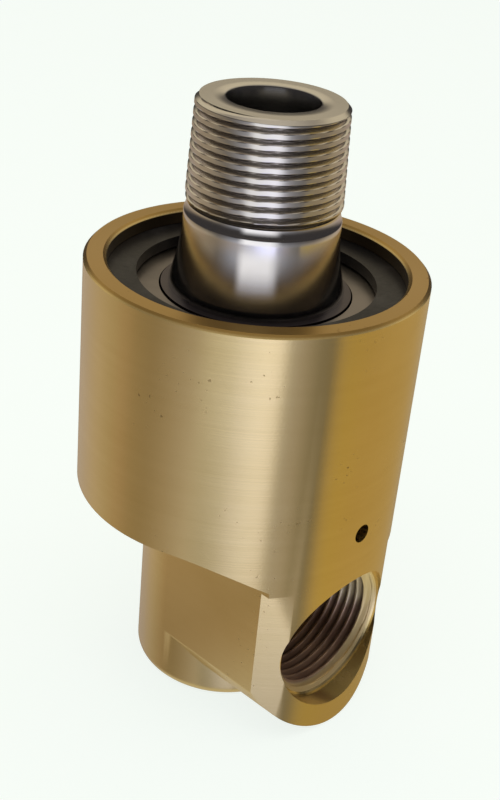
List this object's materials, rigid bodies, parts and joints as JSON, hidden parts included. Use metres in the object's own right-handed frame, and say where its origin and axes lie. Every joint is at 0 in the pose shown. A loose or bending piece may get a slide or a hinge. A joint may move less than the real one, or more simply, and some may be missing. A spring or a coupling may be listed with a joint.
{
  "type": "hydraulic rotary union",
  "caption": "Brass rotary union with a hollow threaded steel rotor on shielded ball bearings, a spring-loaded face seal inside and a threaded side port.",
  "frame": {"origin": "on the rotor's axis, in the plane of the housing's flat foot", "axes": "+Z along the rotor towards its thread, -Y out of the side port"},
  "size_m": [0.06, 0.06, 0.1116],
  "materials": {
    "housing_brass": "turned and lightly brushed",
    "rotor_steel": "turned and polished",
    "spacer_steel": "turned",
    "blackened_spring_steel": "phosphated black",
    "bearing_steel": "ground",
    "ball_steel": "polished",
    "cage_steel": "pressed",
    "shield_steel": "rolled sheet",
    "seal_carbon": "lapped carbon",
    "seal_rubber": "moulded",
    "seal_ceramic": "lapped ceramic",
    "carrier_steel": "turned",
    "spring_steel": "drawn wire",
    "pin_steel": "ground"
  },
  "bodies": {
    "housing": {"housing": "housing_brass", "outer_spacer_ring": "spacer_steel", "housing_retaining_ring": "blackened_spring_steel", "seat_o_ring": "seal_rubber", "spring_washer": "spring_steel", "anti_rotation_pins": "pin_steel", "lower_bearing_outer_ring": "bearing_steel", "lower_bearing_lower_shield": "shield_steel", "lower_bearing_upper_shield": "shield_steel", "upper_bearing_outer_ring": "bearing_steel", "upper_bearing_lower_shield": "shield_steel", "upper_bearing_upper_shield": "shield_steel"},
    "rotor": {"rotor": "rotor_steel", "inner_spacer_ring": "spacer_steel", "rotor_retaining_ring": "blackened_spring_steel", "rotating_carbon_ring": "seal_carbon", "carbon_ring_o_ring": "seal_rubber", "lower_bearing_inner_ring": "bearing_steel", "upper_bearing_inner_ring": "bearing_steel"},
    "lower_ball_set": {"lower_bearing_balls": "ball_steel", "lower_bearing_cage": "cage_steel"},
    "upper_ball_set": {"upper_bearing_balls": "ball_steel", "upper_bearing_cage": "cage_steel"},
    "floating_seat": {"seat_carrier": "carrier_steel", "seat_face_ring": "seal_ceramic", "seal_spring": "spring_steel"}
  },
  "joints": [
    {"name": "rotor_spin", "type": "hinge", "parent": "housing", "child": "rotor", "pos_m": [0, 0, 0.06], "axis": [0, 0, 1], "continuous": true},
    {"name": "lower_ball_set_spin", "type": "hinge", "parent": "housing", "child": "lower_ball_set", "pos_m": [0, 0, 0.0541], "axis": [0, 0, 1], "continuous": true},
    {"name": "upper_ball_set_spin", "type": "hinge", "parent": "housing", "child": "upper_ball_set", "pos_m": [0, 0, 0.0711], "axis": [0, 0, 1], "continuous": true},
    {"name": "seat_float", "type": "slide", "parent": "housing", "child": "floating_seat", "axis": [0, 0, 1], "range_m": [-0.001, 0], "stiffness_N_per_m": 4000, "springref_m": 0.004, "deforming": ["seal_spring"]}
  ],
  "couplings": [
    {"joint": "lower_ball_set_spin", "follows": "rotor_spin", "ratio": 0.39834},
    {"joint": "upper_ball_set_spin", "follows": "rotor_spin", "ratio": 0.39834}
  ]
}
